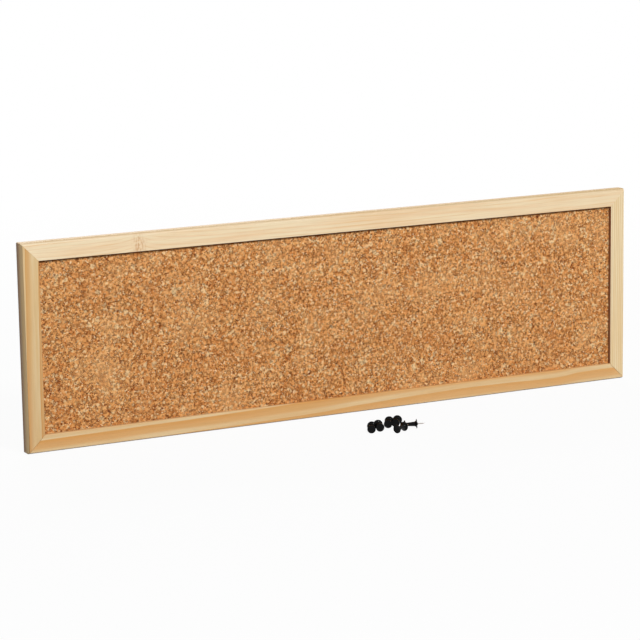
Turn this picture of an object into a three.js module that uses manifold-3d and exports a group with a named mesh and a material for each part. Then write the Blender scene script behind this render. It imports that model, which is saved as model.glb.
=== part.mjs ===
// A cork board: agglomerated cork on a soft fibreboard core, held in a mitred frame of rebated
// pine moulding, with two sawtooth hangers on its back and six push pins lying in front of it.
//
// Millimetres. The board stands on its lower edge: its length runs along X, its front faces -Y,
// its back faces +Y and +Z is up. The origin is the middle of the lower edge, half way through
// the frame's depth.

import * as THREE from "three";
import { mergeVertices } from "three/addons/utils/BufferGeometryUtils.js";
import Module from "manifold-3d";

const wasm = await Module();
wasm.setup();

// The board
const boardLength = 660;
const boardHeight = 200;
const frameDepth = 12.5;

// The pine moulding, sawn to length with a mitre at each end
const mouldingWidth = 17.5;
const lipThickness = 3.5;
const rebateWidth = 6;
const bevelWidth = 1.8;
const bevelDepth = 4;
const sightEdgeRadius = 0.6;
const backEdgeRadius = 0.8;
const sandedCornerRadius = 1.4;
const mitreGap = 0.25;

// The sheets in the rebate
const corkThickness = 3;
const coreThickness = 5;
const sheetClearance = 0.9;

// V nails, one across the back of each mitre
const vNailInset = 4.2;
const vNailLeg = 6.5;
const vNailLip = 1.3;
const vNailThickness = 0.8;
const vNailHeight = 7;
const vNailSink = 0.4;

// Flat points, shot into the rebate's wall behind the core
const pointLength = 14;
const pointWidth = 6;
const pointThickness = 0.6;
const pointTip = 3;
const pointBite = 6;
const pointEndInset = 29;
const pointsPerRail = 4;
const pointsPerStile = 1;

// Sawtooth hangers on the top rail
const hangerEndInset = 110;
const hangerEdgeInset = 1.2;
const hangerLength = 42;
const hangerHeight = 8.6;
const hangerThickness = 0.8;
const hangerRise = 2.2;
const hangerRampLength = 3;
const hangerFootLength = 8;
const hangerCornerRadius = 2.4;
const toothPitch = 2.8;
const toothDepth = 1.6;

// Round-headed nails through the hangers' feet
const nailShankRadius = 0.75;
const nailLength = 10;
const nailTipLength = 1.8;
const nailHeadRadius = 1.9;
const nailHeadHeight = 0.9;
const nailRimShare = 1 / 3;

// Push pins, measured along the pin from its press face
const pressRadius = 4.1;
const pressThickness = 1.2;
const pressDish = 0.3;
const flangeRadius = 4.6;
const flangeThickness = 0.7;
const pinEdgeRadius = 0.3;
const waistPressRadius = 1.45;
const waistFlangeRadius = 2;
const pressFlareLength = 1.9;
const flangeFlareLength = 2.6;
const headLength = 12.4;
const bossLength = 0.9;
const bossRadius = 1.35;
const needleRadius = 0.5;
const needleReach = 7.2;
const needleTipLength = 3;
const needleSocketDepth = 7;

// Where the pins lie: the middle of the heap, and the air left between neighbours
const heapAcross = 8;
const heapStandOff = 83;
const heapGap = 0.55;

// Clearances between pieces, and the overrun of every cut
const nailFit = 0.1;
const needleFit = 0.08;
const overrun = 2;

// Fineness of the curves
const arcSteps = 4;
const roundSteps = 24;
const smallRoundSteps = 14;

const frontFace = -frameDepth / 2;
const backFace = frameDepth / 2;
const rebateFace = frontFace + lipThickness;
const coreBack = rebateFace + corkThickness + coreThickness;
const landWidth = mouldingWidth - rebateWidth;
const hangerBack = backFace + hangerThickness;
const quarterTurn = Math.PI / 2;

const board = new THREE.Group();

// A three.js geometry as a solid, and a solid as a geometry
function solidOf(geometry) {
  const bare = geometry.clone();
  bare.deleteAttribute("normal");
  bare.deleteAttribute("uv");
  const merged = mergeVertices(bare);
  return new wasm.Manifold(
    new wasm.Mesh({
      numProp: 3,
      vertProperties: new Float32Array(merged.attributes.position.array),
      triVerts: new Uint32Array(merged.index.array),
    }),
  );
}

function geometryOf(solid) {
  const { vertProperties, triVerts } = solid.getMesh();
  const geometry = new THREE.BufferGeometry();
  geometry.setAttribute("position", new THREE.BufferAttribute(vertProperties, 3));
  geometry.setIndex(new THREE.BufferAttribute(triVerts, 1));
  geometry.computeVertexNormals();
  return geometry;
}

function cut(geometry, tools) {
  return geometryOf(tools.reduce((left, tool) => left.subtract(solidOf(tool)), solidOf(geometry)));
}

function piece(parent, name, geometry, material) {
  const mesh = new THREE.Mesh(geometry, material);
  mesh.name = name;
  parent.add(mesh);
  return mesh;
}

const pine = () => new THREE.MeshStandardMaterial({ color: 0xe2c493, roughness: 0.55, metalness: 0 });
const cork = () => new THREE.MeshStandardMaterial({ color: 0xc68c55, roughness: 0.9, metalness: 0 });
const fibreboard = () => new THREE.MeshStandardMaterial({ color: 0xa98d68, roughness: 0.95, metalness: 0 });
const zincSteel = () => new THREE.MeshStandardMaterial({ color: 0xb4b6b8, roughness: 0.4, metalness: 0.9 });
const blackPlastic = () => new THREE.MeshStandardMaterial({ color: 0x121213, roughness: 0.2, metalness: 0 });
const needleSteel = () => new THREE.MeshStandardMaterial({ color: 0xc9c9c7, roughness: 0.25, metalness: 1 });

// A plate: an outline drawn across (first number) and along (second number) a side of the frame,
// given its thickness from the depth "from" towards the back.
function plate(shape, from, thickness) {
  const geometry = new THREE.ExtrudeGeometry(shape, {
    depth: thickness,
    bevelEnabled: false,
    curveSegments: arcSteps,
  });
  geometry.rotateX(quarterTurn);
  geometry.translate(0, from + thickness, 0);
  return geometry;
}

// A rectangle with rounded corners, from its low corner to its high one
function roundedRectangle(low, high, radius) {
  const shape = new THREE.Shape();
  shape.absarc(high.x - radius, low.y + radius, radius, -quarterTurn, 0);
  shape.absarc(high.x - radius, high.y - radius, radius, 0, quarterTurn);
  shape.absarc(low.x + radius, high.y - radius, radius, quarterTurn, 2 * quarterTurn);
  shape.absarc(low.x + radius, low.y + radius, radius, 2 * quarterTurn, 3 * quarterTurn);
  return shape;
}

// A bent strip of even thickness about a centre line, as an outline
function strip(line, thickness) {
  const left = [];
  const right = [];
  line.forEach((point, i) => {
    const before = point.clone().sub(line[Math.max(i - 1, 0)]).normalize();
    const after = line[Math.min(i + 1, line.length - 1)].clone().sub(point).normalize();
    const along = before.clone().add(after).normalize();
    const across = new THREE.Vector2(-along.y, along.x);
    const straight = before.lengthSq() ? before : after;
    const reach = thickness / 2 / along.dot(straight);
    left.push(point.clone().addScaledVector(across, reach));
    right.unshift(point.clone().addScaledVector(across, -reach));
  });
  return new THREE.Shape([...left, ...right]);
}

// The frame: each side has its own group, with x inwards from the outer edge, y to the back and
// z along the side from its middle.
const stile = { length: boardHeight, across: boardLength, points: pointsPerStile };
const rail = { length: boardLength, across: boardHeight, points: pointsPerRail };
const sides = {
  left_stile: { ...stile, turns: 0, at: new THREE.Vector3(-boardLength / 2, 0, boardHeight / 2) },
  top_rail: { ...rail, turns: 1, at: new THREE.Vector3(0, 0, boardHeight) },
  right_stile: { ...stile, turns: 2, at: new THREE.Vector3(boardLength / 2, 0, boardHeight / 2) },
  bottom_rail: { ...rail, turns: 3, at: new THREE.Vector3(0, 0, 0) },
};
for (const side of Object.values(sides)) {
  side.group = new THREE.Group();
  side.group.position.copy(side.at);
  side.group.rotation.y = side.turns * quarterTurn;
  board.add(side.group);
}

// The moulding's section: a flat front, a steep bevel down its outer side, an eased sight edge
// and the rebate
function mouldingSection() {
  const section = new THREE.Shape();
  section.moveTo(0, frontFace + bevelDepth);
  section.lineTo(bevelWidth, frontFace);
  const sight = mouldingWidth - sightEdgeRadius;
  section.absarc(sight, frontFace + sightEdgeRadius, sightEdgeRadius, -quarterTurn, 0);
  section.lineTo(mouldingWidth, rebateFace);
  section.lineTo(landWidth, rebateFace);
  section.lineTo(landWidth, backFace);
  section.absarc(backEdgeRadius, backFace - backEdgeRadius, backEdgeRadius, quarterTurn, 2 * quarterTurn);
  return section;
}

// A length of moulding with its ends sawn at 45 degrees: each point of an end steps back along
// the side by as much as it lies inwards.
function mitredMoulding(length) {
  const geometry = new THREE.ExtrudeGeometry(mouldingSection(), {
    depth: length,
    bevelEnabled: false,
    curveSegments: arcSteps,
  });
  geometry.translate(0, 0, -length / 2);
  const points = geometry.attributes.position;
  const setBack = mitreGap / 2 / Math.sin(quarterTurn / 2);
  for (let i = 0; i < points.count; i += 1) {
    const end = Math.sign(points.getZ(i));
    points.setZ(i, end * (length / 2 - points.getX(i) - setBack));
  }
  return geometry;
}

// The V nail's centre line at one end of a side: a lip, a leg along the neighbour, the apex on the
// mitre, a leg along this side and a lip. "spare" lengthens the lips for the slot.
function vNailLine(side, end, spare) {
  const apex = side.length / 2 - vNailInset;
  const tip = (vNailLip + spare) * Math.cos(quarterTurn / 2);
  const far = vNailInset + vNailLeg;
  return [
    new THREE.Vector2(far + tip, end * (apex + tip)),
    new THREE.Vector2(far, end * apex),
    new THREE.Vector2(vNailInset, end * apex),
    new THREE.Vector2(vNailInset, end * (apex - vNailLeg)),
    new THREE.Vector2(vNailInset - tip, end * (apex - vNailLeg - tip)),
  ];
}

function vNail(side, end) {
  const shape = strip(vNailLine(side, end, 0), vNailThickness);
  return plate(shape, backFace - vNailSink - vNailHeight, vNailHeight);
}

function vNailSlot(side, end) {
  const shape = strip(vNailLine(side, end, nailFit), vNailThickness + 2 * nailFit);
  const depth = vNailSink + vNailHeight + nailFit;
  return plate(shape, backFace - depth, depth + overrun);
}

// A flat point: square at the end that shows, sharp at the end in the wood
function pointOutline(at, fit) {
  const half = pointWidth / 2 + fit;
  const buried = landWidth - pointBite;
  return new THREE.Shape([
    new THREE.Vector2(buried - fit, at),
    new THREE.Vector2(buried + pointTip, at - half),
    new THREE.Vector2(buried + pointLength, at - half),
    new THREE.Vector2(buried + pointLength, at + half),
    new THREE.Vector2(buried + pointTip, at + half),
  ]);
}

// Evenly spaced along a side, or a single one in its middle
function pointPlaces(side) {
  if (side.points === 1) return [0];
  const reach = side.length / 2 - landWidth - pointEndInset;
  return Array.from({ length: side.points }, (_, i) => reach * ((2 * i) / (side.points - 1) - 1));
}

const flatPoint = (at) => plate(pointOutline(at, 0), coreBack, pointThickness);
const pointSlot = (at) => plate(pointOutline(at, nailFit), coreBack - nailFit, pointThickness + 2 * nailFit);

// The hangers' places along the top rail, and their nails'
const hangerPlaces = [-1, 1].map((end) => end * (boardLength / 2 - hangerEndInset));
const nailReach = (hangerLength - hangerFootLength) / 2;
const nailLine = hangerEdgeInset + hangerHeight / 2;
const nailPlaces = hangerPlaces.flatMap((at) => [at - nailReach, at + nailReach]);

function nailHole(at) {
  const depth = nailLength - hangerThickness + nailFit + overrun;
  const hole = new THREE.CylinderGeometry(
    nailShankRadius + nailFit,
    nailShankRadius + nailFit,
    depth,
    smallRoundSteps,
  );
  hole.translate(nailLine, backFace + overrun - depth / 2, at);
  return hole;
}

// The outline of the whole board, which rounds the sanded outer corners of each side
function sandedOutline(side) {
  const low = new THREE.Vector2(0, -side.length / 2);
  const high = new THREE.Vector2(side.across, side.length / 2);
  const outline = roundedRectangle(low, high, sandedCornerRadius);
  return plate(outline, frontFace - overrun, frameDepth + 2 * overrun);
}

for (const [name, side] of Object.entries(sides)) {
  const tools = [vNailSlot(side, -1), vNailSlot(side, 1), ...pointPlaces(side).map(pointSlot)];
  if (name === "top_rail") tools.push(...nailPlaces.map(nailHole));
  const sawn = cut(mitredMoulding(side.length), tools);
  const sanded = geometryOf(solidOf(sawn).intersect(solidOf(sandedOutline(side))));
  piece(side.group, name, sanded, pine());
  pointPlaces(side).forEach((at, i) => {
    piece(side.group, `${name}_point_${i + 1}`, flatPoint(at), zincSteel());
  });
}

// One V nail in each corner, placed in the stile's frame
for (const [where, end] of [["bottom", -1], ["top", 1]]) {
  piece(sides.left_stile.group, `v_nail_${where}_left`, vNail(sides.left_stile, end), zincSteel());
  piece(sides.right_stile.group, `v_nail_${where}_right`, vNail(sides.right_stile, -end), zincSteel());
}

// The cork sheet lies against the lip, and the soft core fills the rebate behind it
function sheet(name, from, thickness, material) {
  const margin = landWidth + sheetClearance;
  const geometry = new THREE.BoxGeometry(boardLength - 2 * margin, thickness, boardHeight - 2 * margin);
  piece(board, name, geometry, material).position.set(0, from + thickness / 2, boardHeight / 2);
}
sheet("cork_sheet", rebateFace, corkThickness, cork());
sheet("backing_board", rebateFace + corkThickness, coreThickness, fibreboard());

// A sawtooth hanger: a steel strip whose middle is raised off the wood on two ramps, so that a
// nail's head can pass behind it, with a row of teeth along its lower edge for the nail's shank.
const bridgeLength = hangerLength - 2 * (hangerFootLength + hangerRampLength);

function hangerOutline() {
  const top = hangerEdgeInset;
  const bottom = hangerEdgeInset + hangerHeight;
  const end = hangerLength / 2;
  const corner = hangerCornerRadius;
  const shape = new THREE.Shape();
  shape.absarc(top + corner, corner - end, corner, 2 * quarterTurn, 3 * quarterTurn);
  shape.absarc(bottom - corner, corner - end, corner, -quarterTurn, 0);
  const notches = Math.floor(bridgeLength / toothPitch);
  const start = (-notches * toothPitch) / 2;
  for (let i = 0; i < notches; i += 1) {
    shape.lineTo(bottom, start + i * toothPitch);
    shape.lineTo(bottom - toothDepth, start + i * toothPitch + toothPitch / 2);
  }
  shape.lineTo(bottom, -start);
  shape.absarc(bottom - corner, end - corner, corner, 0, quarterTurn);
  shape.absarc(top + corner, end - corner, corner, quarterTurn, 2 * quarterTurn);
  for (const at of [-nailReach, nailReach]) {
    const hole = new THREE.Path();
    hole.absarc(nailLine, at, nailShankRadius + nailFit, 0, 4 * quarterTurn);
    shape.holes.push(hole);
  }
  return shape;
}

// The bent strip, extruded across its height: drawn along the rail and towards the back
function hangerStrip() {
  const low = backFace + hangerThickness / 2;
  const high = low + hangerRise;
  const foot = bridgeLength / 2 + hangerRampLength;
  const line = [
    new THREE.Vector2(-hangerLength / 2 - overrun, low),
    new THREE.Vector2(-foot, low),
    new THREE.Vector2(-bridgeLength / 2, high),
    new THREE.Vector2(bridgeLength / 2, high),
    new THREE.Vector2(foot, low),
    new THREE.Vector2(hangerLength / 2 + overrun, low),
  ];
  const geometry = new THREE.ExtrudeGeometry(strip(line, hangerThickness), {
    depth: hangerHeight + 2 * overrun,
    bevelEnabled: false,
  });
  geometry.rotateY(-quarterTurn);
  geometry.translate(hangerEdgeInset + hangerHeight + overrun, 0, 0);
  return geometry;
}

function hanger() {
  const depth = 2 * overrun + hangerThickness + hangerRise;
  const outline = plate(hangerOutline(), backFace - overrun, depth + overrun);
  return geometryOf(solidOf(hangerStrip()).intersect(solidOf(outline)));
}

// A nail's profile, from its tip up to the crown of its head: y is 0 under the head
function nailProfile() {
  const line = new THREE.Path();
  line.moveTo(0, -nailLength);
  line.lineTo(nailShankRadius, nailTipLength - nailLength);
  line.lineTo(nailShankRadius, 0);
  line.lineTo(nailHeadRadius, 0);
  line.lineTo(nailHeadRadius, nailHeadHeight * nailRimShare);
  line.quadraticCurveTo(nailHeadRadius * Math.cos(quarterTurn / 2), nailHeadHeight, 0, nailHeadHeight);
  return line.getPoints(arcSteps);
}

["left", "right"].forEach((where, i) => {
  const { group } = sides.top_rail;
  piece(group, `hanger_${where}`, hanger(), zincSteel()).position.z = hangerPlaces[i];
  [-nailReach, nailReach].forEach((reach, j) => {
    const nail = new THREE.LatheGeometry(nailProfile(), smallRoundSteps);
    const mesh = piece(group, `hanger_nail_${where}_${j + 1}`, nail, zincSteel());
    mesh.position.set(nailLine, hangerBack, hangerPlaces[i] + reach);
  });
});

// A push pin's head, from the press face to the boss round the needle: two discs joined by a slim
// waist that swells into each of them, in one moulding.
const pinLength = headLength + bossLength + needleReach;
const flangeStart = headLength - flangeThickness;
const socketRadius = needleRadius + needleFit;
const socketBottom = headLength + bossLength - needleSocketDepth;

function pinHeadProfile() {
  const line = new THREE.Path();
  const press = pressRadius - pinEdgeRadius;
  line.moveTo(0, pressDish);
  line.quadraticCurveTo(press / 2, pressDish, press - pinEdgeRadius, 0);
  line.lineTo(press, 0);
  line.quadraticCurveTo(pressRadius, 0, pressRadius, pinEdgeRadius);
  line.lineTo(pressRadius, pressThickness);
  const waistStart = pressThickness + pressFlareLength;
  line.quadraticCurveTo(waistPressRadius, pressThickness, waistPressRadius, waistStart);
  line.lineTo(waistFlangeRadius, flangeStart - flangeFlareLength);
  line.quadraticCurveTo(waistFlangeRadius, flangeStart - pinEdgeRadius, flangeRadius, flangeStart);
  line.lineTo(flangeRadius, headLength - pinEdgeRadius);
  line.lineTo(flangeRadius - pinEdgeRadius, headLength);
  line.lineTo(bossRadius, headLength + bossLength / 2);
  line.lineTo(bossRadius - pinEdgeRadius, headLength + bossLength);
  line.lineTo(socketRadius, headLength + bossLength);
  line.lineTo(socketRadius, socketBottom);
  line.lineTo(0, socketBottom);
  return line.getPoints(arcSteps);
}

function needleProfile() {
  const tip = pinLength - needleTipLength;
  return [
    new THREE.Vector2(0, socketBottom + needleFit),
    new THREE.Vector2(needleRadius, socketBottom + needleFit),
    new THREE.Vector2(needleRadius, tip),
    new THREE.Vector2(0, pinLength),
  ];
}

// A pin lies on the rims of its two discs, so its needle points up a little.
const pinTilt = Math.atan((flangeRadius - pressRadius) / (flangeStart - pinEdgeRadius));
const pinHeight = pressRadius * Math.cos(pinTilt) - pinEdgeRadius * Math.sin(pinTilt);

function pushPin(number, place, heading) {
  const pin = new THREE.Group();
  pin.position.set(place.x, place.y, pinHeight);
  pin.rotation.set(0, -pinTilt, heading, "ZYX");
  board.add(pin);
  const head = new THREE.LatheGeometry(pinHeadProfile(), roundSteps).rotateZ(-quarterTurn);
  const needle = new THREE.LatheGeometry(needleProfile(), smallRoundSteps).rotateZ(-quarterTurn);
  piece(pin, `push_pin_${number}_head`, head, blackPlastic());
  piece(pin, `push_pin_${number}_needle`, needle, needleSteel());
}

const towards = (heading) => new THREE.Vector2(Math.cos(heading), Math.sin(heading));
const heapMiddle = new THREE.Vector2(heapAcross, frontFace - heapStandOff);
const heapPlace = (shares) => heapMiddle.clone().addScaledVector(shares, pinLength);

// A second pin on the first one's right, with its discs between the first one's discs. "lead" is
// how far it lies ahead as a share of the head, and it turns left of the first by "splay".
function pinBeside(place, heading, leadShare, splay) {
  const wide = Math.max(pressRadius, flangeRadius) + waistFlangeRadius + heapGap;
  const drawnIn = headLength * (1 - leadShare) * Math.sin(splay);
  const beside = place.clone().addScaledVector(towards(heading), headLength * leadShare);
  return beside.addScaledVector(towards(heading - quarterTurn), wide + drawnIn);
}

// A second pin that crosses in front of the first one's needle, with its waist just past the tip
function pinAcross(place, heading, crossing, waistShare) {
  const room = (waistFlangeRadius + heapGap) / Math.sin(heading - crossing);
  const meet = place.clone().addScaledVector(towards(heading), pinLength + room);
  return meet.addScaledVector(towards(crossing), -headLength * waistShare);
}

const leftPairShares = new THREE.Vector2(-1, -0.1);
const leftPairHeading = THREE.MathUtils.degToRad(61);
const leftPairLeadShare = 0.57;
const leftPairSplay = THREE.MathUtils.degToRad(12);
const middlePairShares = new THREE.Vector2(0.16, 0.44);
const middlePairHeading = THREE.MathUtils.degToRad(56);
const middlePairLeadShare = 0.41;
const middlePairSplay = THREE.MathUtils.degToRad(-4);
const frontPairShares = new THREE.Vector2(0.03, -0.67);
const frontPairHeading = THREE.MathUtils.degToRad(26);
const frontPairCrossing = THREE.MathUtils.degToRad(-23);
const frontPairWaistShare = 0.55;

const leftPlace = heapPlace(leftPairShares);
pushPin(1, leftPlace, leftPairHeading);
pushPin(
  2,
  pinBeside(leftPlace, leftPairHeading, leftPairLeadShare, leftPairSplay),
  leftPairHeading + leftPairSplay,
);
const middlePlace = heapPlace(middlePairShares);
pushPin(3, middlePlace, middlePairHeading);
pushPin(
  4,
  pinBeside(middlePlace, middlePairHeading, middlePairLeadShare, middlePairSplay),
  middlePairHeading + middlePairSplay,
);
const frontPlace = heapPlace(frontPairShares);
pushPin(5, frontPlace, frontPairHeading);
pushPin(
  6,
  pinAcross(frontPlace, frontPairHeading, frontPairCrossing, frontPairWaistShare),
  frontPairCrossing,
);

export default board;
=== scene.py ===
# A long cork board in a pine frame, with six black push pins lying in front of it. Metres.

import math

import bmesh
import bpy
from mathutils import Matrix, Vector, noise
from mathutils.geometry import interpolate_bezier


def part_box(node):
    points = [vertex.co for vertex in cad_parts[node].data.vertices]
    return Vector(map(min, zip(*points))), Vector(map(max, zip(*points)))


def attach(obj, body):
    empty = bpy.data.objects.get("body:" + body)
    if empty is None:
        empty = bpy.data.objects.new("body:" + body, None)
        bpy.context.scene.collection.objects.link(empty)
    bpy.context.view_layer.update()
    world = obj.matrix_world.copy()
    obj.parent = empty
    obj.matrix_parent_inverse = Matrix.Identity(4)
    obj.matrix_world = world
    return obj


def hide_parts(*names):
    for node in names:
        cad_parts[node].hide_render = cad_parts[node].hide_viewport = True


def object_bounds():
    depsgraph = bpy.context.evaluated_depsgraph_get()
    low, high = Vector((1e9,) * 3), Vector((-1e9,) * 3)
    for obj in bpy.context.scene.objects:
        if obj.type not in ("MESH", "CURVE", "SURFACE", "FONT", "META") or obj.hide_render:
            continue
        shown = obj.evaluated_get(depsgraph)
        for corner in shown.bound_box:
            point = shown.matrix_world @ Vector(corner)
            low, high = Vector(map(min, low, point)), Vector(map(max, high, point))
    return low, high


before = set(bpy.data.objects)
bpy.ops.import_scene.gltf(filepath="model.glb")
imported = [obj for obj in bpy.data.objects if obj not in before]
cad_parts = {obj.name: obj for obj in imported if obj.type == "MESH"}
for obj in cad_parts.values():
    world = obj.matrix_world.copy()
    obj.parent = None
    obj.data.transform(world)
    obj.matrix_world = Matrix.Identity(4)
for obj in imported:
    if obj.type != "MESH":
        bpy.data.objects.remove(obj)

cad_low, cad_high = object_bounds()
scene = bpy.context.scene
scene.view_settings.view_transform = "Standard"


# The camera: a long lens, a little above the board and well to its left. It is aimed at the
# middle of the frame's front, which then lies slightly off the middle of the picture.

picture_width = 640
focal_length_in_pixels = 2609
sensor_width = 36
aim = Vector((0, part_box("bottom_rail")[0].y, cad_high.z / 2))
camera_turn = math.radians(-26.371)
camera_dip = math.radians(11.065)
camera_roll = math.radians(-0.915)
camera_distance = 2.5632
aim_right_of_middle = 0.02106
aim_above_middle = 0.00451

camera = bpy.data.objects.new("camera", bpy.data.cameras.new("camera"))
scene.collection.objects.link(camera)
scene.camera = camera
camera.data.sensor_width = sensor_width
camera.data.lens = sensor_width * focal_length_in_pixels / picture_width
camera.matrix_world = (
    Matrix.Translation(aim)
    @ Matrix.Rotation(camera_turn, 4, "Z")
    @ Matrix.Rotation(math.pi / 2 - camera_dip, 4, "X")
    @ Matrix.Rotation(camera_roll, 4, "Z")
    @ Matrix.Translation((-aim_right_of_middle, -aim_above_middle, camera_distance))
)


# The light: a soft box above, in front and to the right, a weaker and larger one behind, and a
# plain white room round them. Left-facing sides get the room's light alone.

room_light = 0.21


def soft_box(name, place, size, power):
    """A square lamp of an even white, turned to the board"""
    lamp = bpy.data.objects.new(name, bpy.data.lights.new(name, "AREA"))
    scene.collection.objects.link(lamp)
    lamp.data.size = size
    lamp.data.energy = power
    lamp.location = place
    lamp.rotation_euler = (aim - lamp.location).to_track_quat("-Z", "Y").to_euler()


soft_box("front_light", place=(1, -5.2, 4.2), size=1.1, power=372)
soft_box("back_light", place=(1.4, 4.4, 3.4), size=2.4, power=170)


def add(tree, kind, inputs=None, **settings):
    """A shader node with its settings, and with a value or a link on each named input"""
    node = tree.nodes.new("ShaderNode" + kind)
    for name, value in settings.items():
        setattr(node, name, value)
    for name, value in (inputs or {}).items():
        if isinstance(value, bpy.types.NodeSocket):
            tree.links.new(value, node.inputs[name])
        else:
            node.inputs[name].default_value = value
    return node


def seen_directly(tree):
    """1 for what the camera sees, also in a reflection or through glass, and 0 for light"""
    path = add(tree, "LightPath").outputs
    seen = add(tree, "Math", {0: path["Is Camera Ray"], 1: path["Is Glossy Ray"]}, operation="MAXIMUM")
    seen = add(tree, "Math", {0: seen.outputs[0], 1: path["Is Transmission Ray"]}, operation="MAXIMUM")
    return seen.outputs[0]


world = bpy.data.worlds.new("white_room")
scene.world = world
world.use_nodes = True
tree = world.node_tree
tree.nodes.clear()
white = (1, 1, 1, 1)
lit = add(tree, "Background", {"Color": white, "Strength": room_light}).outputs[0]
shown = add(tree, "Background", {"Color": white, "Strength": 1}).outputs[0]
room = add(tree, "MixShader", {0: seen_directly(tree), 1: lit, 2: shown})
add(tree, "OutputWorld", {"Surface": room.outputs[0]})


# The floor: a smooth pale sheet, which fades to the white of the room away from the board and
# keeps a soft shadow under the board and the pins.

floor_size = 40
floor_grey = 0.6
floor_drop = 0.0002
white_near_share = 0.95
fade_from = 0.45
fade_to = 1.6

mesh = bmesh.new()
bmesh.ops.create_grid(mesh, x_segments=1, y_segments=1, size=floor_size / 2)
bmesh.ops.translate(mesh, verts=mesh.verts, vec=(0, 0, -floor_drop))
floor = bpy.data.objects.new("floor", bpy.data.meshes.new("floor"))
mesh.to_mesh(floor.data)
mesh.free()
scene.collection.objects.link(floor)

paper = bpy.data.materials.new("white_paper")
paper.use_nodes = True
tree = paper.node_tree
tree.nodes.clear()
place = add(tree, "TexCoord").outputs["Object"]
distance = add(tree, "VectorMath", {0: place}, operation="LENGTH").outputs["Value"]
limits = {"From Min": fade_from, "From Max": fade_to, "To Min": white_near_share, "To Max": 1}
faded = add(tree, "MapRange", {"Value": distance, **limits}, interpolation_type="SMOOTHSTEP")
share = add(tree, "Math", {0: faded.outputs[0], 1: seen_directly(tree)}, operation="MULTIPLY")
matt = add(tree, "BsdfDiffuse", {"Color": (floor_grey, floor_grey, floor_grey, 1)})
glow = add(tree, "Emission", {"Color": white, "Strength": 1})
sheet = add(tree, "MixShader", {0: share.outputs[0], 1: matt.outputs[0], 2: glow.outputs[0]})
add(tree, "OutputMaterial", {"Surface": sheet.outputs[0]})
floor.data.materials.append(paper)


# The frame: four lengths of rebated pine moulding, sawn at 45 degrees, glued, pulled together by
# a V nail in the back of each corner, and sanded as one. Each length is from another board, so
# each has its own growth rings.

left_low, left_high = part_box("left_stile")
moulding_width = left_high.x - left_low.x
front_of_frame = left_low.y
sanded_edge = 0.00012
bevel_softening = 0.002
bevel_steps = 5

# How near an upper joint the wood is drawn towards it, and the share of the gap that is left
beside_joint = 0.00032
tight_joint_share = 0.15

# Turns that are smoothed over, turns that are edges, and faces and points that count as one
smooth_below = math.radians(32)
edged_above = math.radians(20)
same_plane = math.radians(0.5)
same_point = 1e-6

# Where in a year's growth the late wood is darkest, how dark it is at its start and at its turn,
# and how dark the late wood of the palest year is
late_edge = 0.96
late_start_dark = 0.06
late_turn_dark = 0.75
palest_year = 0.8

# How far the rings ripple, how deep the grain is, and between which distances from the outer side and
# from the inner edge the painted shade lies
ripple = 0.0006
grain_relief = 0.00004
outer_shade_span = (0.0008, 0.0022)
inner_shade_span = (0.0004, 0.0001)


def colour(code):
    """A colour as it looks on a screen, written as six hex digits, in the renderer's numbers"""
    parts = [int(code[i:i + 2], 16) / 255 for i in (0, 2, 4)]
    return (*(((c + 0.055) / 1.055) ** 2.4 if c > 0.04045 else c / 12.92 for c in parts), 1)


def finished(mesh, name, body, slot, material, *nodes):
    """The bmesh as a smooth-shaded piece with its material, riding on its body for its nodes"""
    piece = bpy.data.objects.new(name, bpy.data.meshes.new(name))
    mesh.to_mesh(piece.data)
    mesh.free()
    scene.collection.objects.link(piece)
    piece.data.shade_smooth()
    piece.data.set_sharp_from_angle(angle=smooth_below)
    piece.data.materials.append(material)
    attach(piece, body)
    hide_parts(*nodes)
    return piece


def eased(mesh, edges, width, segments=2):
    """Round over the given edges of a bmesh"""
    bmesh.ops.bevel(
        mesh,
        geom=edges,
        offset=width,
        segments=segments,
        profile=0.5,
        affect="EDGES",
        material=-1,
        clamp_overlap=True,
    )


def closed_copy(node):
    """The node's solid as one closed surface"""
    mesh = bmesh.new()
    mesh.from_mesh(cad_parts[node].data)
    bmesh.ops.remove_doubles(mesh, verts=mesh.verts, dist=same_point)
    return mesh


def whole_faced_copy(node):
    """The node's solid with each of its flat faces in one piece"""
    mesh = closed_copy(node)
    bmesh.ops.dissolve_limit(mesh, angle_limit=same_plane, verts=mesh.verts, edges=mesh.edges)
    return mesh


def sharper_than(mesh, angle):
    """The edges where two faces turn more than the angle"""
    return [e for e in mesh.edges if e.calc_face_angle(0) > angle]


def moulded_copy(node):
    """A length of moulding whose bevel is softened and whose upper joint is closed to a hairline"""
    mesh = whole_faced_copy(node)
    soft_turns = [e for e in sharper_than(mesh, edged_above) if e.calc_face_angle(0) < smooth_below]
    eased(mesh, soft_turns, bevel_softening, bevel_steps)
    eased(mesh, sharper_than(mesh, smooth_below), sanded_edge)
    for side in (-1, 1):
        corner = Vector((side * cad_high.x, 0, cad_high.z))
        across_joint = Vector((1, 0, -side)).normalized()
        for v in mesh.verts:
            off = (v.co - corner).dot(across_joint)
            if abs(off) < beside_joint:
                v.co -= across_joint * off * (1 - tight_joint_share)
    return mesh


def kept_flat(piece):
    """The piece with its flat faces shaded flat right up to their eased edges"""
    piece.modifiers.new("flat_faces", "WEIGHTED_NORMAL").keep_sharp = True


def surface(name):
    """A new material, its nodes, its shader and the coordinates of the piece"""
    material = bpy.data.materials.new(name)
    material.use_nodes = True
    tree = material.node_tree
    return material, tree, tree.nodes["Principled BSDF"], add(tree, "TexCoord").outputs["Object"]


def calc(tree, operation, *values):
    """The result of a sum on numbers"""
    return add(tree, "Math", dict(enumerate(values)), operation=operation).outputs[0]


def ranged(tree, value, low, high, to_low=0, to_high=1):
    """The value, moved from one range to another and kept inside it"""
    limits = {"From Min": low, "From Max": high, "To Min": to_low, "To Max": to_high}
    return add(tree, "MapRange", {"Value": value, **limits}).outputs[0]


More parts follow.
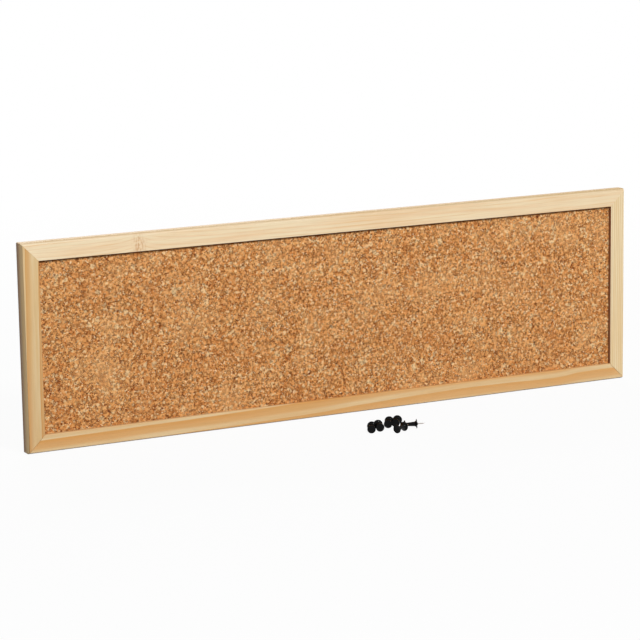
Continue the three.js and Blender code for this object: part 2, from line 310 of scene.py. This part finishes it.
def speckle(tree, place, size, detail=2, roughness=0.5):
    """Noise whose lumps are as long as "size" says, across, into and along the piece"""
    stretched = add(tree, "Mapping", {"Vector": place, "Scale": [1 / s for s in size]}).outputs[0]
    settings = {"Vector": stretched, "Scale": 1, "Detail": detail, "Roughness": roughness}
    return add(tree, "TexNoise", settings).outputs[0]


def patches(tree, place, size, start, full, least=0, most=1, **noise_settings):
    """How strongly patches show: "least" where the noise is at start, and "most" where at full"""
    return ranged(tree, speckle(tree, place, size, **noise_settings), start, full, least, most)


def ramp(tree, value, stops, interpolation):
    """The colours of the stops (place from 0 to 1, colour), picked by a value"""
    node = add(tree, "ValToRGB", {"Fac": value})
    node.color_ramp.interpolation = interpolation
    for i, (place, shade) in enumerate(stops):
        stop = node.color_ramp.elements[i] if i < 2 else node.color_ramp.elements.new(place)
        stop.position = place
        stop.color = shade
    return node.outputs[0]


def blended(tree, share, first, second):
    """Two colours, mixed by a share of the second"""
    return add(tree, "Mix", {0: share, 6: first, 7: second}, data_type="RGBA").outputs[2]


def shaded(tree, base, brightness):
    """A colour made lighter or darker"""
    grey = add(tree, "CombineColor", {0: brightness, 1: brightness, 2: brightness}).outputs[0]
    return add(tree, "Mix", {0: 1, 6: base, 7: grey}, data_type="RGBA", blend_type="MULTIPLY").outputs[2]


def moved(tree, place, operation, vector):
    """Coordinates changed by a vector"""
    return add(tree, "VectorMath", {0: place, 1: vector}, operation=operation).outputs[0]


def length_of(tree, vector):
    """How long a vector is"""
    return add(tree, "VectorMath", {0: vector}, operation="LENGTH").outputs["Value"]


def embossed(tree, shader, height, depth):
    """A fine relief on the shader, "depth" high where the height rises by 1"""
    bump = add(tree, "Bump", {"Height": height, "Strength": 1, "Distance": depth}).outputs[0]
    tree.links.new(bump, shader.inputs["Normal"])


def along_moulding(tree, place, side, turns):
    """Coordinates across a moulding from its outer edge, into its depth, and along it"""
    low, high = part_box(side)
    turn = turns * math.pi / 2
    middle = Vector(((low.x + high.x) / 2, 0, (low.z + high.z) / 2))
    corner = middle - Matrix.Rotation(turn, 3, "Y") @ Vector((moulding_width / 2, 0, 0))
    placing = {"Vector": place, "Location": corner, "Rotation": (0, turn, 0)}
    return add(tree, "Mapping", placing, vector_type="TEXTURE").outputs[0]


def shift_to_line(tree, along, line):
    """The shift that brings one year's edge from the outer side to a line drawn through points"""
    run = add(tree, "FloatCurve", {"Value": along})
    curve = run.mapping.curves[0]
    for spot, (at, share) in zip(curve.points, (line[0], line[-1])):
        spot.location = (at, share)
    for at, share in line[1:-1]:
        curve.points.new(at, share)
    run.mapping.use_clip = False
    run.mapping.update()
    return calc(tree, "MULTIPLY", run.outputs[0], -moulding_width)


def late_wood(tree, years, late_part, turn):
    """How dark a year's growth is, from its pale start to its sharp dark edge"""
    greys = (
        (0, 0),
        (1 - late_part, late_start_dark),
        (1 - late_part * (1 - turn), late_turn_dark),
        (late_edge, 1),
        (1, 0),
    )
    stops = [(at, (dark, dark, dark, 1)) for at, dark in greys]
    dark = ramp(tree, calc(tree, "FRACT", years), stops, "EASE")
    luck = add(tree, "TexWhiteNoise", {"W": calc(tree, "FLOOR", years)}, noise_dimensions="1D")
    return calc(tree, "MULTIPLY", dark, ranged(tree, luck.outputs["Value"], 0, 1, palest_year, 1))


def pine(
    side, name, turns, line, heart, ring, late_part, early, late, blush, wander, outer_shade,
    lip=(0.6, "8a5520"), tanned=(0, 0), turn=0.8, faintest=1, knot=None
):
    """Pine for one side of the frame, from the traits explained above its list"""
    material, tree, shader, place = surface(name)
    low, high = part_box(side)
    length = max(high.x - low.x, high.z - low.z)
    place = along_moulding(tree, place, side, turns)
    across, depth, along = add(tree, "SeparateXYZ", {0: place}).outputs
    along = ranged(tree, along, -length / 2, length / 2)

    # The distance from the tree's heart, which wanders along the moulding and round a knot
    shift = add(tree, "CombineXYZ", {"X": shift_to_line(tree, along, line)}).outputs[0]
    from_heart = moved(tree, moved(tree, place, "ADD", shift), "SUBTRACT", (*heart, 0))
    radius = length_of(tree, moved(tree, from_heart, "MULTIPLY", (1, 1, 0)))
    radius = calc(tree, "SUBTRACT", radius, math.hypot(heart[0], heart[1] - low.y))
    sway = patches(tree, place, (0.022, 0.022, 0.14), 0, 1, -wander, wander, roughness=0.4)
    rippled = patches(tree, place, (0.004, 0.004, 0.045), 0, 1, -ripple, ripple)
    radius = calc(tree, "ADD", radius, calc(tree, "ADD", sway, rippled))
    if knot:
        knot_place, knot_size, knot_lift = knot
        from_knot = moved(tree, place, "SUBTRACT", knot_place)
        off = length_of(tree, moved(tree, from_knot, "DIVIDE", knot_size))
        scar = calc(tree, "POWER", math.exp(-1), off)
        radius = calc(tree, "MULTIPLY_ADD", scar, knot_lift, radius)

    # The rings, clear in some places and faint in others
    late_share = late_wood(tree, calc(tree, "MULTIPLY", radius, 1 / ring), late_part, turn)
    clear = patches(tree, place, (0.007, 0.007, 0.07), start=0.42, full=0.62, least=faintest)
    late_share = calc(tree, "MULTIPLY", late_share, clear)
    wood = blended(tree, late_share, colour(early), colour(late))

    # Broad warm streaks, fibres, the short dark strokes of the resin canals, and the knot's rays
    streak = patches(tree, place, (0.005, 0.005, 0.12), start=0.42, full=0.72, most=0.6, detail=3)
    wood = blended(tree, streak, wood, colour(blush))
    fibre = speckle(tree, place, (0.0004, 0.0004, 0.018), detail=3, roughness=0.6)
    wood = shaded(tree, wood, ranged(tree, fibre, 0.25, 0.75, 0.92, 1.05))
    canal = patches(tree, place, (0.0007, 0.0007, 0.007), start=0.72, full=0.8, most=0.35, detail=1)
    wood = blended(tree, canal, wood, colour("a9743f"))
    if knot:
        rays = patches(tree, place, (0.004, 0.004, 0.0014), start=0.46, full=0.6, least=0.05, most=0.6)
        rays = calc(tree, "MULTIPLY", ranged(tree, scar, 0.45, 0.8), rays)
        wood = blended(tree, rays, wood, colour("bd7f48"))

    # The tan towards one end, and the painted shade on the outer side and on the inner edge
    wood = blended(tree, ranged(tree, along, 0, 1, *tanned), wood, colour("b58a50"))
    outer_shade_share, outer_shade_colour, outer_shade_from, outer_shade_to = outer_shade
    outer = ranged(tree, across, *outer_shade_span, outer_shade_share, 0)
    outer_shaded = calc(tree, "MULTIPLY", outer, ranged(tree, depth, outer_shade_from, outer_shade_to))
    wood = blended(tree, outer_shaded, wood, colour(outer_shade_colour))
    # Painted shade on the inner edge, whose face is turned from the light
    lip_share, lip_colour = lip
    lip_from, lip_to = (moulding_width - inset for inset in inner_shade_span)
    inner = ranged(tree, across, lip_from, lip_to, 0, lip_share)
    wood = blended(tree, inner, wood, colour(lip_colour))
    tree.links.new(wood, shader.inputs["Base Color"])

    tree.links.new(ranged(tree, fibre, 0, 1, 0.44, 0.62), shader.inputs["Roughness"])
    shader.inputs["Specular IOR Level"].default_value = 0.35
    embossed(tree, shader, calc(tree, "MULTIPLY_ADD", late_share, 0.5, fibre), grain_relief)
    return material


# The traits of each length of pine:
# turns: quarter turns from the left stile
# line: where one year's edge runs on the front, as shares of the length and of the width
# heart: where the tree's heart was, across and into the moulding
# ring, late_part, turn: the width of a year, the share of it that is late wood, and how far into
#   the late wood it is nearly dark
# early, late, blush: the colours of the early wood, the late wood and the streaks
# wander: how far the rings stray from the line
# aged: the share and colour of the painted shade on the outer side, and the depths between which it grows
# lip: the share and colour of the painted shade on the inner edge
# tanned: the tan at the two ends
# faintest: how clear the rings are where they are faintest
# knot: its place and size along the moulding's own directions, and how far it lifts the rings
woods = {
    "left_stile": dict(
        name="pine_left",
        turns=0,
        line=[(0, 0.06), (0.35, 0.09), (0.6, 0.14), (0.88, 0.21), (1, 0.24)],
        heart=(0.05, -0.045),
        ring=0.00925,
        late_part=0.62,
        early="dcc498",
        late="c5802a",
        blush="cfa566",
        wander=0.0006,
        outer_shade=(1, "5e3a14", 0.75 * front_of_frame, -1.1 * front_of_frame),
        tanned=(0.25, 0),
    ),
    "top_rail": dict(
        name="pine_top",
        turns=1,
        line=[(0, 0.8), (0.2, 0.77), (0.3, 0.88), (0.5, 0.97), (0.7, 0.9), (1, 0.8)],
        heart=(-0.05, 0.03),
        ring=0.003,
        late_part=0.4,
        early="ecd9b6",
        late="deb680",
        blush="e3b684",
        wander=0.0025,
        outer_shade=(0.95, "b49158", front_of_frame, front_of_frame / 4),
        tanned=(0, 0.16),
        faintest=0.25,
        knot=((0.011, front_of_frame, -0.212), (0.02, 0.02, 0.011), 0.006),
    ),
    "right_stile": dict(
        name="pine_right",
        turns=2,
        line=[(0, 0.3), (1, 0.4)],
        heart=(0.09, 0.01),
        ring=0.0023,
        late_part=0.5,
        early="e4d1ab",
        late="cba56e",
        blush="d8b67e",
        wander=0.0008,
        outer_shade=(0.5, "8d6c40", front_of_frame / 2, -front_of_frame),
        lip=(0.8, "7c3000"),
    ),
    "bottom_rail": dict(
        name="pine_bottom",
        turns=3,
        line=[
            (0, 0.74),
            (0.08, 0.69),
            (0.13, 0.58),
            (0.2, 0.62),
            (0.27, 0.65),
            (0.33, 0.62),
            (0.4, 0.56),
            (0.47, 0.47),
            (0.53, 0.35),
            (0.6, 0.25),
            (0.67, 0.18),
            (0.76, 0.11),
            (0.88, 0.04),
            (1, -0.01),
        ],
        heart=(-0.08, 0.01),
        ring=0.0128,
        late_part=0.8,
        early="dcc194",
        late="cf934b",
        blush="d2a468",
        wander=0.0012,
        outer_shade=(1, "6e4420", 1.5 * front_of_frame, front_of_frame / 4),
        lip=(0.3, "b87a38"),
        turn=0.35,
    ),
}
for node, traits in woods.items():
    wood = pine(node, **traits)
    kept_flat(finished(moulded_copy(node), node + "_wood", "board", "pine", wood, node))


# The cork: ground cork pressed with glue into a block and sliced to a 3 mm sheet. Its face is
# crumbly, because granules stand up or have been torn out by the blade.

cork_step = 0.0014
cork_relief = 0.00035
cork_granule = 0.0026
fine_granule = 0.0012
medium_granule = 0.0024
large_granule = 0.0046
fine_share = 0.55
large_share = 0.09
pick_edge = 0.01
crumbs_in_a_metre = 700
ragged_by = 0.0008
seam_middle = 0.02
seam_dark = 0.85
cork_bump = 0.00013
# How far below the top rail's lip the painted shadow on the cork begins and ends
painted_shadow_band = (0.0018, 0.0012)

# The tones of the granules: the share of the granules, and the colour
fine_tones = (
    (0.09, "7e3a12"),
    (0.14, "b66d31"),
    (0.25, "d58c4b"),
    (0.25, "e09e59"),
    (0.15, "e2b075"),
    (0.12, "eccb9c"),
)
medium_tones = (
    (0.2, "ca8446"),
    (0.35, "da9856"),
    (0.3, "e2a869"),
    (0.15, "e8c18c"),
)
large_tones = (
    (0.5, "e0a264"),
    (0.25, "ce8b4d"),
    (0.25, "e6c390"),
)


def sheet_with_relief(node, showing, step, sunk):
    """The node's sheet, with the side that shows (-1 front, 1 back) sunk as far as "sunk" says"""
    low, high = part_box(node)
    middle = (low + high) / 2
    near, far = (low.y, high.y) if showing < 0 else (high.y, low.y)
    mesh = bmesh.new()
    bmesh.ops.create_grid(
        mesh,
        x_segments=round((high.x - low.x) / step),
        y_segments=round((high.z - low.z) / step),
        size=0.5,
        matrix=Matrix.Diagonal((high.x - low.x, high.z - low.z, 1, 1)),
    )
    bmesh.ops.rotate(mesh, verts=mesh.verts, cent=(0, 0, 0), matrix=Matrix.Rotation(math.pi / 2, 3, "X"))
    bmesh.ops.translate(mesh, verts=mesh.verts, vec=(middle.x, near, middle.z))
    for v in mesh.verts:
        v.co.y -= showing * sunk(v.co)
    rim = [e for e in mesh.edges if e.is_boundary]
    for part in bmesh.ops.extrude_edge_only(mesh, edges=rim)["geom"]:
        if isinstance(part, bmesh.types.BMVert):
            part.co.y = far
    bmesh.ops.holes_fill(mesh, edges=[e for e in mesh.edges if e.is_boundary])
    bmesh.ops.recalc_face_normals(mesh, faces=mesh.faces)
    return mesh


def cork_hollow(place):
    """How far the cork's face is torn in at a place"""
    distances, _ = noise.voronoi(place / cork_granule)
    return cork_relief * min(distances[0], 1)


def cells(tree, place, size, **settings):
    """The outputs of a pattern of rounded cells of one size"""
    return add(tree, "TexVoronoi", {"Vector": place, "Scale": 1 / size}, **settings).outputs


def numbers(tree, cell_colour):
    """The first two numbers drawn for a cell"""
    return add(tree, "SeparateColor", {0: cell_colour}).outputs[:2]


def granules(tree, place, size, tones):
    """Granules of one size: their tone, a second number for each, and the distance to its middle"""
    granule = cells(tree, place, size)
    first, second = numbers(tree, granule["Color"])
    start = 0
    stops = []
    for share, code in tones:
        stops.append((start, colour(code)))
        start += share
    return ramp(tree, first, stops, "CONSTANT"), second, granule["Distance"]


def seam(tree, place, size, width):
    """The dark of the joints between granules, which are as wide as a share of their size says"""
    joint = cells(tree, place, size, feature="DISTANCE_TO_EDGE")["Distance"]
    return ranged(tree, joint, seam_middle, width, seam_dark, 0)


def cork():
    material, tree, shader, place = surface("cork")
    push = {"Vector": place, "Scale": crumbs_in_a_metre, "Detail": 2}
    push = moved(tree, add(tree, "TexNoise", push).outputs["Color"], "SUBTRACT", (0.5, 0.5, 0.5))
    push = add(tree, "VectorMath", {0: push, "Scale": ragged_by}, operation="SCALE").outputs[0]
    ragged = moved(tree, place, "ADD", push)

    # Fine granules on over half of the face, medium ones on the rest, and large ones here and there
    fine, _, fine_rise = granules(tree, ragged, fine_granule, fine_tones)
    medium, pick_medium, medium_rise = granules(tree, ragged, medium_granule, medium_tones)
    large, pick_large, _ = granules(tree, ragged, large_granule, large_tones)
    is_medium = ranged(tree, pick_medium, fine_share, fine_share + 2 * pick_edge)
    is_large = ranged(tree, pick_large, 1 - large_share, 1 - large_share + pick_edge)
    body = blended(tree, is_large, blended(tree, is_medium, fine, medium), large)

    # Dark gaps in patches between the granules, and pits where crumbs have fallen out: dark joints,
    # partly painted shade in the hollows
    medium_seam = seam(tree, ragged, medium_granule, width=0.11)
    fine_seam = seam(tree, ragged, fine_granule, width=0.12)
    patchy = patches(tree, place, (0.003, 0.003, 0.003), start=0.42, full=0.56)
    dark = calc(tree, "MULTIPLY", calc(tree, "MAXIMUM", medium_seam, fine_seam), patchy)
    crumb = cells(tree, ragged, cork_granule)
    gone, _ = numbers(tree, crumb["Color"])
    pit = ranged(tree, crumb["Distance"], 0.14, 0.24, 1, 0)
    pit = calc(tree, "MULTIPLY", pit, ranged(tree, gone, 0.1, 0.6))
    dark = calc(tree, "MAXIMUM", dark, pit)
    body = blended(tree, dark, body, colour("401202"))

    # Slow changes of tone over the sheet
    for size, share in ((0.045, 0.3), (0.01, 0.18)):
        slow = speckle(tree, place, (size, size, size))
        body = blended(tree, ranged(tree, slow, 0.5, 0.75, 0, share), body, colour("e4b278"))
        body = blended(tree, ranged(tree, slow, 0.5, 0.25, 0, share), body, colour("b46e36"))

    # Close under the lip of the top rail the sheet is darkened by a painted shadow of the lip
    up = add(tree, "SeparateXYZ", {0: place}).outputs["Z"]
    top_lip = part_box("top_rail")[0].z
    painted_shadow_from, painted_shadow_to = (top_lip - below for below in painted_shadow_band)
    painted_shadow = ranged(tree, up, painted_shadow_from, painted_shadow_to, 0, 0.85)
    body = blended(tree, painted_shadow, body, colour("4a2008"))
    tree.links.new(body, shader.inputs["Base Color"])

    tree.links.new(ranged(tree, patchy, 0, 1, 0.78, 0.95), shader.inputs["Roughness"])
    shader.inputs["Specular IOR Level"].default_value = 0.25
    height = calc(tree, "MULTIPLY_ADD", fine_rise, -0.6, medium_rise)
    embossed(tree, shader, calc(tree, "SUBTRACT", height, dark), cork_bump)
    return material


cork_face = sheet_with_relief("cork_sheet", -1, cork_step, cork_hollow)
finished(cork_face, "cork_face", "board", "cork", cork(), "cork_sheet")


# The core: soft fibreboard, felted from wood fibre and water on a wire screen and glued behind
# the cork. It takes the pins' points. Its back is fluffy and still shows the screen's weave.

core_step = 0.0025
core_waves = 0.018
core_relief = 0.0003
core_bump = 0.00018
felt_size = (0.007, 0.0005, 0.0004)
felt_angles = (0, 62, 118)
screen_pitch = 0.0016
weave_rise = 0.35

# A wave texture of scale 1 repeats every 0.314 m
wave_pitch = 0.314


def core_hollow(place):
    """How far the core's back dips at a place"""
    return core_relief * (0.5 + 0.5 * noise.noise(place / core_waves))


def softboard():
    material, tree, shader, place = surface("softboard")
    base = colour("ab8f6a")
    height = 0
    for angle in felt_angles:
        turning = {"Vector": place, "Rotation": (0, math.radians(angle), 0)}
        felt = speckle(tree, add(tree, "Mapping", turning).outputs[0], felt_size)
        base = blended(tree, ranged(tree, felt, 0.5, 0.72, 0, 0.5), base, colour("8d7150"))
        base = blended(tree, ranged(tree, felt, 0.5, 0.3, 0, 0.45), base, colour("c8b18c"))
        height = calc(tree, "ADD", height, felt)
    bark = patches(tree, place, (0.0016, 0.0016, 0.0016), start=0.7, full=0.76, most=0.7, detail=1)
    base = blended(tree, bark, base, colour("5e4630"))
    cloud = patches(tree, place, (0.06, 0.06, 0.06), start=0.3, full=0.7, least=0.93, most=1.05)
    tree.links.new(shaded(tree, base, cloud), shader.inputs["Base Color"])
    tree.links.new(ranged(tree, height, 1, 2, 0.85, 1), shader.inputs["Roughness"])
    shader.inputs["Specular IOR Level"].default_value = 0.2

    for direction in ("X", "Z"):
        wires = {"Vector": place, "Scale": wave_pitch / screen_pitch}
        wire = add(tree, "TexWave", wires, bands_direction=direction).outputs["Fac"]
        height = calc(tree, "MULTIPLY_ADD", wire, weave_rise, height)
    embossed(tree, shader, height, core_bump)
    return material


core = sheet_with_relief("backing_board", 1, core_step, core_hollow)
finished(core, "softboard_core", "board", "softboard", softboard(), "backing_board")


# The steel fittings of the back: V nails sunk across the mitres, flat points shot into the
# rebate's wall behind the core, and the two sawtooth hangers. All are stamped from zinc-plated
# strip, so their edges are slightly rounded by the tool and their faces are finely scratched.

stamped_edge = 0.00009
zinc_relief = 0.00001
rolled_size = (0.02, 0.0003, 0.0003)


def zinc(name, tint, roughness):
    material, tree, shader, place = surface(name)
    rolled = speckle(tree, place, rolled_size, detail=3)
    cloud = speckle(tree, place, (0.004, 0.004, 0.004), detail=3, roughness=0.6)
    base = shaded(tree, colour(tint), ranged(tree, cloud, 0.3, 0.7, 0.86, 1.04))
    scratch = ranged(tree, rolled, 0.62, 0.72, 0, 0.35)
    base = blended(tree, scratch, base, colour("e4e6e6"))
    tree.links.new(base, shader.inputs["Base Color"])
    shader.inputs["Metallic"].default_value = 1
    dull = calc(tree, "MULTIPLY_ADD", cloud, 0.22, ranged(tree, rolled, 0.3, 0.7, -0.05, 0.1))
    tree.links.new(calc(tree, "ADD", dull, roughness - 0.11), shader.inputs["Roughness"])
    embossed(tree, shader, rolled, zinc_relief)
    return material


bright_zinc = zinc("bright_zinc", "bfc2c4", 0.3)
grey_zinc = zinc("grey_zinc", "a3a6a9", 0.42)
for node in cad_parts:
    is_hanger = node in ("hanger_left", "hanger_right")
    if is_hanger or node.startswith("v_nail") or "_point_" in node:
        mesh = whole_faced_copy(node)
        eased(mesh, sharper_than(mesh, edged_above), stamped_edge)
        finish = bright_zinc if is_hanger else grey_zinc
        kept_flat(finished(mesh, node + "_steel", "board", "zinc_steel", finish, node))


# The hangers' nails: headed wire nails driven through the feet of the hangers, with domed heads
# that the hammer has slightly flattened.

nail_steps = 36
nail_shank_radius = 0.00075
nail_head_radius = 0.0019
nail_head_height = 0.0009
nail_head_rim = 0.0003
nail_tip = 0.0018
turned_point = 1e-7


def sweep(start, bend, end, steps=6):
    """Points on a curve from start to end that sets out and arrives in line with bend"""
    start, bend, end = Vector(start), Vector(bend), Vector(end)
    return interpolate_bezier(start, start.lerp(bend, 2 / 3), end.lerp(bend, 2 / 3), end, steps)


def turned(profile, steps):
    """A solid turned about Z, from points given as distance from the axis and height"""
    mesh = bmesh.new()
    line = [mesh.verts.new((out, 0, up)) for out, up in profile]
    edges = [mesh.edges.new(pair) for pair in zip(line, line[1:])]
    bmesh.ops.spin(
        mesh,
        geom=line + edges,
        cent=(0, 0, 0),
        axis=(0, 0, 1),
        angle=2 * math.pi,
        steps=steps,
        use_merge=True,
    )
    bmesh.ops.remove_doubles(mesh, verts=mesh.verts, dist=turned_point)
    bmesh.ops.recalc_face_normals(mesh, faces=mesh.faces)
    return mesh


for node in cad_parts:
    if not node.startswith("hanger_nail"):
        continue
    low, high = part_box(node)
    under_head = high.y - nail_head_height
    nail_length = under_head - low.y
    profile = [
        (0, -nail_length),
        (nail_shank_radius, nail_tip - nail_length),
        (nail_shank_radius, 0),
        (nail_head_radius - nail_head_rim / 3, 0),
        *sweep(
            (nail_head_radius, nail_head_rim / 3),
            (nail_head_radius, nail_head_rim),
            (nail_head_radius * 0.9, nail_head_rim * 1.4),
        ),
        *sweep(
            (nail_head_radius * 0.85, nail_head_rim * 1.6),
            (nail_head_radius * 0.6, nail_head_height),
            (nail_head_radius * 0.3, nail_head_height),
        ),
        (0, nail_head_height),
    ]
    nail = turned(profile, nail_steps)
    seat = ((low.x + high.x) / 2, under_head, (low.z + high.z) / 2)
    bmesh.ops.rotate(nail, verts=nail.verts, cent=(0, 0, 0), matrix=Matrix.Rotation(-math.pi / 2, 3, "X"))
    bmesh.ops.translate(nail, verts=nail.verts, vec=seat)
    finished(nail, node + "_steel", "board", "zinc_steel", bright_zinc, node)


# The push pins: a grip moulded in glossy black plastic round a ground steel needle. The grip is
# two discs joined by a slim waist, with the mark of the moulding gate in its dished press face.

pin_count = 6
grip_steps = 64
needle_steps = 36
pin_length = 0.0205
press_radius = 0.0041
press_thickness = 0.0012
press_dish = 0.0003
gate_radius = 0.0005
gate_rise = 0.00012
rim = 0.0003
waist_press_radius = 0.00175
press_flare = 0.0019
waist_flange_radius = 0.00215
flange_flare = 0.0026
flange_radius = 0.0046
flange_thickness = 0.0007
grip_length = 0.0124
boss_length = 0.0009
boss_radius = 0.00135
socket_radius = 0.00058
socket_depth = 0.007
needle_radius = 0.0005
needle_tip = 0.003
plastic_relief = 0.00002
needle_relief = 0.000005

flange_start = grip_length - flange_thickness
boss_end = grip_length + boss_length
grip_profile = [
    (0, press_dish - gate_rise),
    (gate_radius, press_dish - gate_rise),
    (gate_radius + gate_rise, press_dish),
    *sweep(
        (press_radius / 3, press_dish),
        (press_radius - 3 * rim, press_dish),
        (press_radius - 2 * rim, 0),
    ),
    *sweep((press_radius - rim, 0), (press_radius, 0), (press_radius, rim)),
    *sweep(
        (press_radius, press_thickness - rim),
        (press_radius, press_thickness),
        (press_radius - rim, press_thickness),
    ),
    *sweep(
        (press_radius - 1.2 * rim, press_thickness),
        (waist_press_radius, press_thickness),
        (waist_press_radius, press_thickness + press_flare),
        steps=12,
    ),
    *sweep(
        (waist_flange_radius, flange_start - flange_flare),
        (waist_flange_radius, flange_start - rim),
        (flange_radius - rim, flange_start),
        steps=12,
    ),
    *sweep(
        (flange_radius, flange_start + rim / 2),
        (flange_radius, grip_length),
        (flange_radius - rim, grip_length),
    ),
    *sweep(
        (boss_radius + rim, grip_length),
        (boss_radius, grip_length),
        (boss_radius, grip_length + rim),
        steps=4,
    ),
    *sweep(
        (boss_radius, boss_end - rim),
        (boss_radius, boss_end),
        (boss_radius - rim, boss_end),
        steps=4,
    ),
    (socket_radius, boss_end),
    (socket_radius, boss_end - socket_depth),
    (0, boss_end - socket_depth),
]
needle_start = boss_end - socket_depth + (socket_radius - needle_radius)
tip_start = pin_length - needle_tip
needle_profile = [
    (0, needle_start),
    (needle_radius, needle_start),
    *sweep(
        (needle_radius, tip_start),
        (needle_radius * 0.7, tip_start + needle_tip / 2),
        (0, pin_length),
        steps=8,
    ),
]


def pin_place(number):
    """Where a pin lies: Z runs along its needle, from the middle of its press face"""
    low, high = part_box(f"push_pin_{number}_head")
    middle = (low + high) / 2
    mesh = closed_copy(f"push_pin_{number}_needle")
    points = [v.co.copy() for v in mesh.verts]
    mesh.free()
    tip = max(points, key=lambda p: (p - middle).length)
    reach = max((p - tip).length for p in points)
    tail = [p for p in points if (p - tip).length > reach - needle_radius]
    axis = (tip - sum(tail, Vector()) / len(tail)).normalized()
    return Matrix.Translation(tip - axis * pin_length) @ axis.to_track_quat("Z", "Y").to_matrix().to_4x4()


def placed(mesh, place):
    """The bmesh moved to its place, keeping its own coordinates for its finish"""
    own = mesh.verts.layers.float_vector.new("own_place")
    for v in mesh.verts:
        v[own] = v.co
    bmesh.ops.transform(mesh, matrix=place, verts=mesh.verts)
    return mesh


def pin_surface(name):
    """A new material with its nodes and shader, and the coordinates that lie still in the pin"""
    material, tree, shader, _ = surface(name)
    return material, tree, shader, add(tree, "Attribute", attribute_name="own_place").outputs["Vector"]


def black_plastic():
    material, tree, shader, place = pin_surface("black_plastic")
    cloud = speckle(tree, place, (0.0015, 0.0015, 0.0015), detail=3)
    base = blended(tree, ranged(tree, cloud, 0.4, 0.7), colour("060607"), colour("0e0e0f"))
    tree.links.new(base, shader.inputs["Base Color"])
    shader.inputs["Specular IOR Level"].default_value = 0.1
    scuff = patches(tree, place, (0.0002, 0.002, 0.0006), start=0.62, full=0.75, most=0.2)
    gloss = calc(tree, "ADD", scuff, ranged(tree, cloud, 0, 1, 0.08, 0.16))
    tree.links.new(gloss, shader.inputs["Roughness"])
    embossed(tree, shader, cloud, plastic_relief)
    return material


def needle_steel():
    material, tree, shader, place = pin_surface("needle_steel")
    drawn = speckle(tree, place, (0.00008, 0.00008, 0.004), detail=3)
    base = blended(tree, ranged(tree, drawn, 0.35, 0.7), colour("8d8580"), colour("b3aca5"))
    tree.links.new(base, shader.inputs["Base Color"])
    shader.inputs["Metallic"].default_value = 1
    tree.links.new(ranged(tree, drawn, 0.3, 0.7, 0.16, 0.34), shader.inputs["Roughness"])
    embossed(tree, shader, drawn, needle_relief)
    return material


plastic = black_plastic()
steel = needle_steel()
for number in range(1, pin_count + 1):
    place = pin_place(number)
    body = f"push_pin_{number}"
    grip = placed(turned(grip_profile, grip_steps), place)
    finished(grip, body + "_grip", body, "black_plastic", plastic, body + "_head")
    needle = placed(turned(needle_profile, needle_steps), place)
    finished(needle, body + "_point", body, "needle_steel", steel, body + "_needle")
